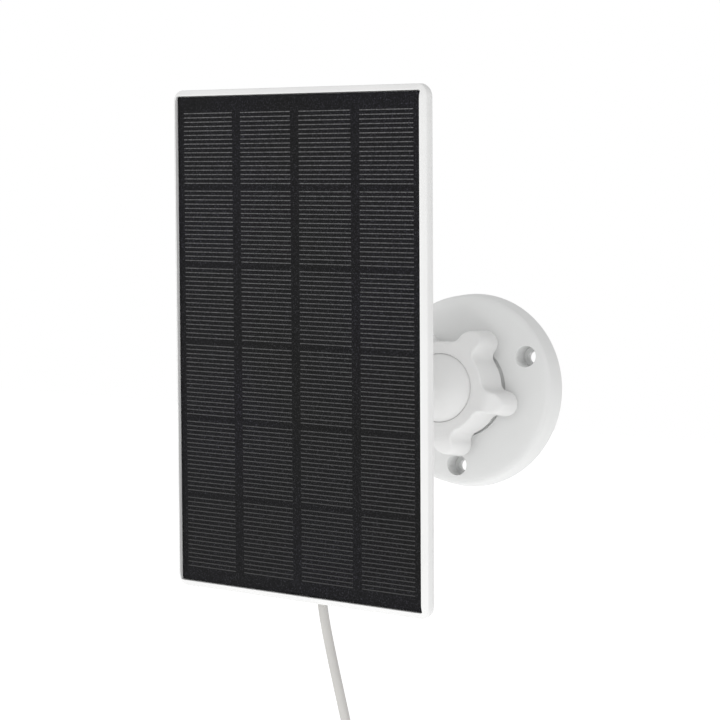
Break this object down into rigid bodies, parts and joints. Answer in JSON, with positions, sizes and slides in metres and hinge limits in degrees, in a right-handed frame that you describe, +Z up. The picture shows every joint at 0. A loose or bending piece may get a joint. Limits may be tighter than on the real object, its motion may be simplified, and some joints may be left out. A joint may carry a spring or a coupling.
{
  "type": "solar charging panel with ball-joint wall mount",
  "caption": "Upright framed solar charging panel on a star-nut ball-joint arm with a round wall plate, and a charging cord with a plug.",
  "frame": {"origin": "centre of the wall plate's back face, where it meets the wall", "axes": "+Y into the wall, along the wall plate's axis; +Z up; +X to the right of someone facing the wall"},
  "size_m": [0.1158, 0.1206, 0.324],
  "materials": {
    "wall_plastic": "matt white",
    "white_plastic": "satin white",
    "seat_polymer": "matt dark grey",
    "ring_polymer": "matt off-white",
    "arm_plastic": "satin white",
    "nut_plastic": "satin white",
    "steel": "bright",
    "washer_rubber": "matt black",
    "brass": "turned",
    "clear_resin": "matt-textured clear resin over the cells",
    "silicon": "dark, with fine silver lines",
    "tinned_ribbon": "tinned",
    "black_board": "black board",
    "foam_tape": "matt foam",
    "circuit_board": "green solder mask",
    "ferrite": "moulded ferrite",
    "chip_resin": "black moulding",
    "capacitor": "ceramic",
    "wire": "red and black insulation",
    "cord_sheath": "soft light grey",
    "tie": "soft grey",
    "plug_plastic": "satin white"
  },
  "bodies": {
    "base": {"wall_plate": "wall_plastic"},
    "seat": {"ball_seat": "seat_polymer"},
    "arm": {"ball_arm": "arm_plastic", "arm_stud": "steel"},
    "clamp_ring": {"pressure_ring": "ring_polymer"},
    "star_nut": {"star_nut": "nut_plastic"},
    "lock_washer": {"lock_washer": "washer_rubber"},
    "lock_nut": {"lock_nut": "nut_plastic", "lock_nut_insert": "brass"},
    "panel": {"front_frame": "white_plastic", "clear_laminate": "clear_resin", "solar_cells": "silicon", "cell_ribbons": "tinned_ribbon", "backing_board": "black_board", "seal_tape": "foam_tape", "rear_cover": "white_plastic", "thread_insert": "brass", "cover_screws": "steel", "circuit_board": "circuit_board", "board_screws": "steel", "power_inductor": "ferrite", "regulator_chip": "chip_resin", "filter_capacitors": "capacitor", "bypass_diode": "chip_resin", "panel_leads": "wire", "strain_relief": "cord_sheath", "cord_lead": "cord_sheath", "cord_coil": "cord_sheath", "cord_tail": "cord_sheath", "cord_tie": "tie", "plug_grip": "plug_plastic", "plug_shell": "steel", "plug_tongue": "chip_resin"}
  },
  "joints": [
    {"name": "ball_swivel", "type": "hinge", "parent": "base", "child": "seat", "pos_m": [0, -0.0215, 0], "axis": [0, -1, 0], "continuous": true},
    {"name": "ball_tilt", "type": "hinge", "parent": "seat", "child": "arm", "pos_m": [0, -0.0215, 0], "axis": [0.4176, 0, -0.9086], "range_deg": [-50, 19]},
    {"name": "panel_turn", "type": "hinge", "parent": "arm", "child": "panel", "pos_m": [0, -0.0215, 0], "axis": [-0.2388, -0.9649, -0.1097], "range_deg": [-90, 90]},
    {"name": "clamp_travel", "type": "slide", "parent": "base", "child": "clamp_ring", "axis": [0, -1, 0], "range_m": [0, 0.001]},
    {"name": "clamp_turn", "type": "hinge", "parent": "clamp_ring", "child": "star_nut", "pos_m": [0, -0.02, 0], "axis": [0, -1, 0], "range_deg": [0, 180]},
    {"name": "lock_travel", "type": "slide", "parent": "arm", "child": "lock_washer", "axis": [0.2388, 0.9649, 0.1097], "range_m": [0, 0.0013]},
    {"name": "lock_turn", "type": "hinge", "parent": "lock_washer", "child": "lock_nut", "pos_m": [0, -0.0215, 0], "axis": [0.2388, 0.9649, 0.1097], "range_deg": [0, 360]}
  ],
  "couplings": [
    {"joint": "clamp_travel", "follows": "clamp_turn", "m_per_rad": 0.000318},
    {"joint": "lock_travel", "follows": "lock_turn", "m_per_rad": 0.0002021}
  ]
}
